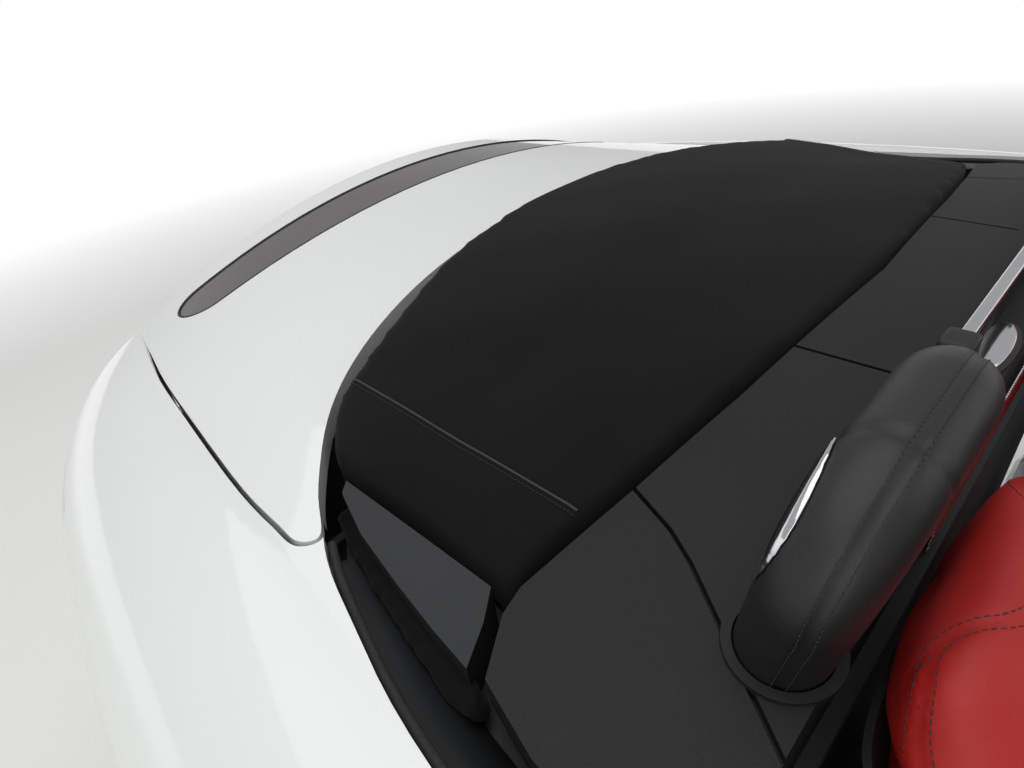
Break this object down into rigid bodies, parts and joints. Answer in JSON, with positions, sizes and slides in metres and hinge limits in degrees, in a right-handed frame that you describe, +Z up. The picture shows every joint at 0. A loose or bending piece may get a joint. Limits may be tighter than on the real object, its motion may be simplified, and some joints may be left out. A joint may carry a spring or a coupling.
{
  "type": "two-seat roadster convertible",
  "caption": "Two-seat open roadster car with the soft top folded behind padded roll hoops, leather seats, lifting bonnet and boot lid, side doors and steered front wheels.",
  "frame": {"origin": "on the road surface under the centre of the car's bounding box", "axes": "+X to the car's left, +Y to the rear, +Z up"},
  "size_m": [1.9954, 4.0891, 1.299],
  "materials": {
    "alloy": "satin",
    "black_leather": "satin",
    "bright_metal": "polished",
    "clear_glass": "polished",
    "dark_steel": "satin",
    "iron": "rough",
    "lamp_clear": "polished",
    "lamp_red": "polished",
    "pearl_paint": "gloss",
    "red_leather": "satin",
    "satin_black": "satin",
    "soft_trim": "matte",
    "steel": "satin",
    "top_cloth": "matte",
    "tread_rubber": "matte"
  },
  "bodies": {
    "chassis": {"centre_console": "soft_trim", "dashboard": "soft_trim", "door_posts": "dark_steel", "engine": "iron", "exhaust": "steel", "floor_tub": "dark_steel", "folded_top": "top_cloth", "front_bumper": "pearl_paint", "front_suspension": "iron", "front_wing_left": "pearl_paint", "front_wing_right": "pearl_paint", "grille": "bright_metal", "headlamps": "lamp_clear", "hoop_infills": "bright_metal", "rear_bumper": "pearl_paint", "rear_quarter_left": "pearl_paint", "rear_quarter_right": "pearl_paint", "rear_shelf": "soft_trim", "rear_suspension": "iron", "roll_hoops": "black_leather", "scuttle_panel": "satin_black", "seat_left": "red_leather", "seat_right": "red_leather", "side_sills": "pearl_paint", "steering_column": "satin_black", "tail_lamps": "lamp_red", "top_flaps": "satin_black", "top_tray": "satin_black", "well_trim": "tread_rubber", "wheel_housings": "satin_black", "wind_deflector": "satin_black", "windscreen_frame": "satin_black", "windscreen_glass": "clear_glass"},
    "door_left_assembly": {"door_left": "pearl_paint", "mirror_left": "pearl_paint"},
    "door_right_assembly": {"door_right": "pearl_paint", "mirror_right": "pearl_paint"},
    "bonnet_assembly": {"bonnet": "pearl_paint"},
    "boot_lid_assembly": {"boot_lid": "pearl_paint", "high_stop_lamp": "lamp_red"},
    "front_knuckle_left": {"knuckle_left": "iron"},
    "front_knuckle_right": {"knuckle_right": "iron"},
    "steering_wheel_assembly": {"steering_wheel": "black_leather"},
    "wheel_front_left": {"tyre_front_left": "tread_rubber", "rim_front_left": "alloy", "disc_front_left": "steel"},
    "wheel_front_right": {"tyre_front_right": "tread_rubber", "rim_front_right": "alloy", "disc_front_right": "steel"},
    "wheel_rear_left": {"tyre_rear_left": "tread_rubber", "rim_rear_left": "alloy", "disc_rear_left": "steel"},
    "wheel_rear_right": {"tyre_rear_right": "tread_rubber", "rim_rear_right": "alloy", "disc_rear_right": "steel"}
  },
  "joints": [
    {"name": "roll_front_left", "type": "hinge", "parent": "front_knuckle_left", "child": "wheel_front_left", "pos_m": [0.7365, -1.303, 0.317], "axis": [1, 0, 0], "continuous": true},
    {"name": "roll_front_right", "type": "hinge", "parent": "front_knuckle_right", "child": "wheel_front_right", "pos_m": [-0.7365, -1.303, 0.317], "axis": [1, 0, 0], "continuous": true},
    {"name": "roll_rear_left", "type": "hinge", "parent": "chassis", "child": "wheel_rear_left", "pos_m": [0.7615, 1.192, 0.317], "axis": [1, 0, 0], "continuous": true},
    {"name": "roll_rear_right", "type": "hinge", "parent": "chassis", "child": "wheel_rear_right", "pos_m": [-0.7615, 1.192, 0.317], "axis": [1, 0, 0], "continuous": true},
    {"name": "steer_left", "type": "hinge", "parent": "chassis", "child": "front_knuckle_left", "pos_m": [0.698, -1.303, 0.21], "axis": [-0.2475, 0, 0.9689], "range_deg": [-28, 28]},
    {"name": "steer_right", "type": "hinge", "parent": "chassis", "child": "front_knuckle_right", "pos_m": [-0.698, -1.303, 0.21], "axis": [0.2475, 0, 0.9689], "range_deg": [-28, 28]},
    {"name": "steering_turn", "type": "hinge", "parent": "chassis", "child": "steering_wheel_assembly", "pos_m": [0.372, -0.105, 0.735], "axis": [0, 0.9135, 0.4067], "range_deg": [-420, 420]},
    {"name": "door_left_hinge", "type": "hinge", "parent": "chassis", "child": "door_left_assembly", "pos_m": [0.862, -0.43, 0.53], "axis": [0, 0, -1], "range_deg": [0, 62]},
    {"name": "door_right_hinge", "type": "hinge", "parent": "chassis", "child": "door_right_assembly", "pos_m": [-0.862, -0.43, 0.53], "axis": [0, 0, 1], "range_deg": [0, 62]},
    {"name": "bonnet_hinge", "type": "hinge", "parent": "chassis", "child": "bonnet_assembly", "pos_m": [0, -0.6, 0.948], "axis": [-1, 0, 0], "range_deg": [0, 50]},
    {"name": "boot_lid_hinge", "type": "hinge", "parent": "chassis", "child": "boot_lid_assembly", "pos_m": [0, 1.292, 0.912], "axis": [1, 0, 0], "range_deg": [0, 60]}
  ],
  "couplings": [
    {"joint": "steer_right", "follows": "steer_left", "ratio": 1},
    {"joint": "steering_turn", "follows": "steer_left", "ratio": 15}
  ]
}
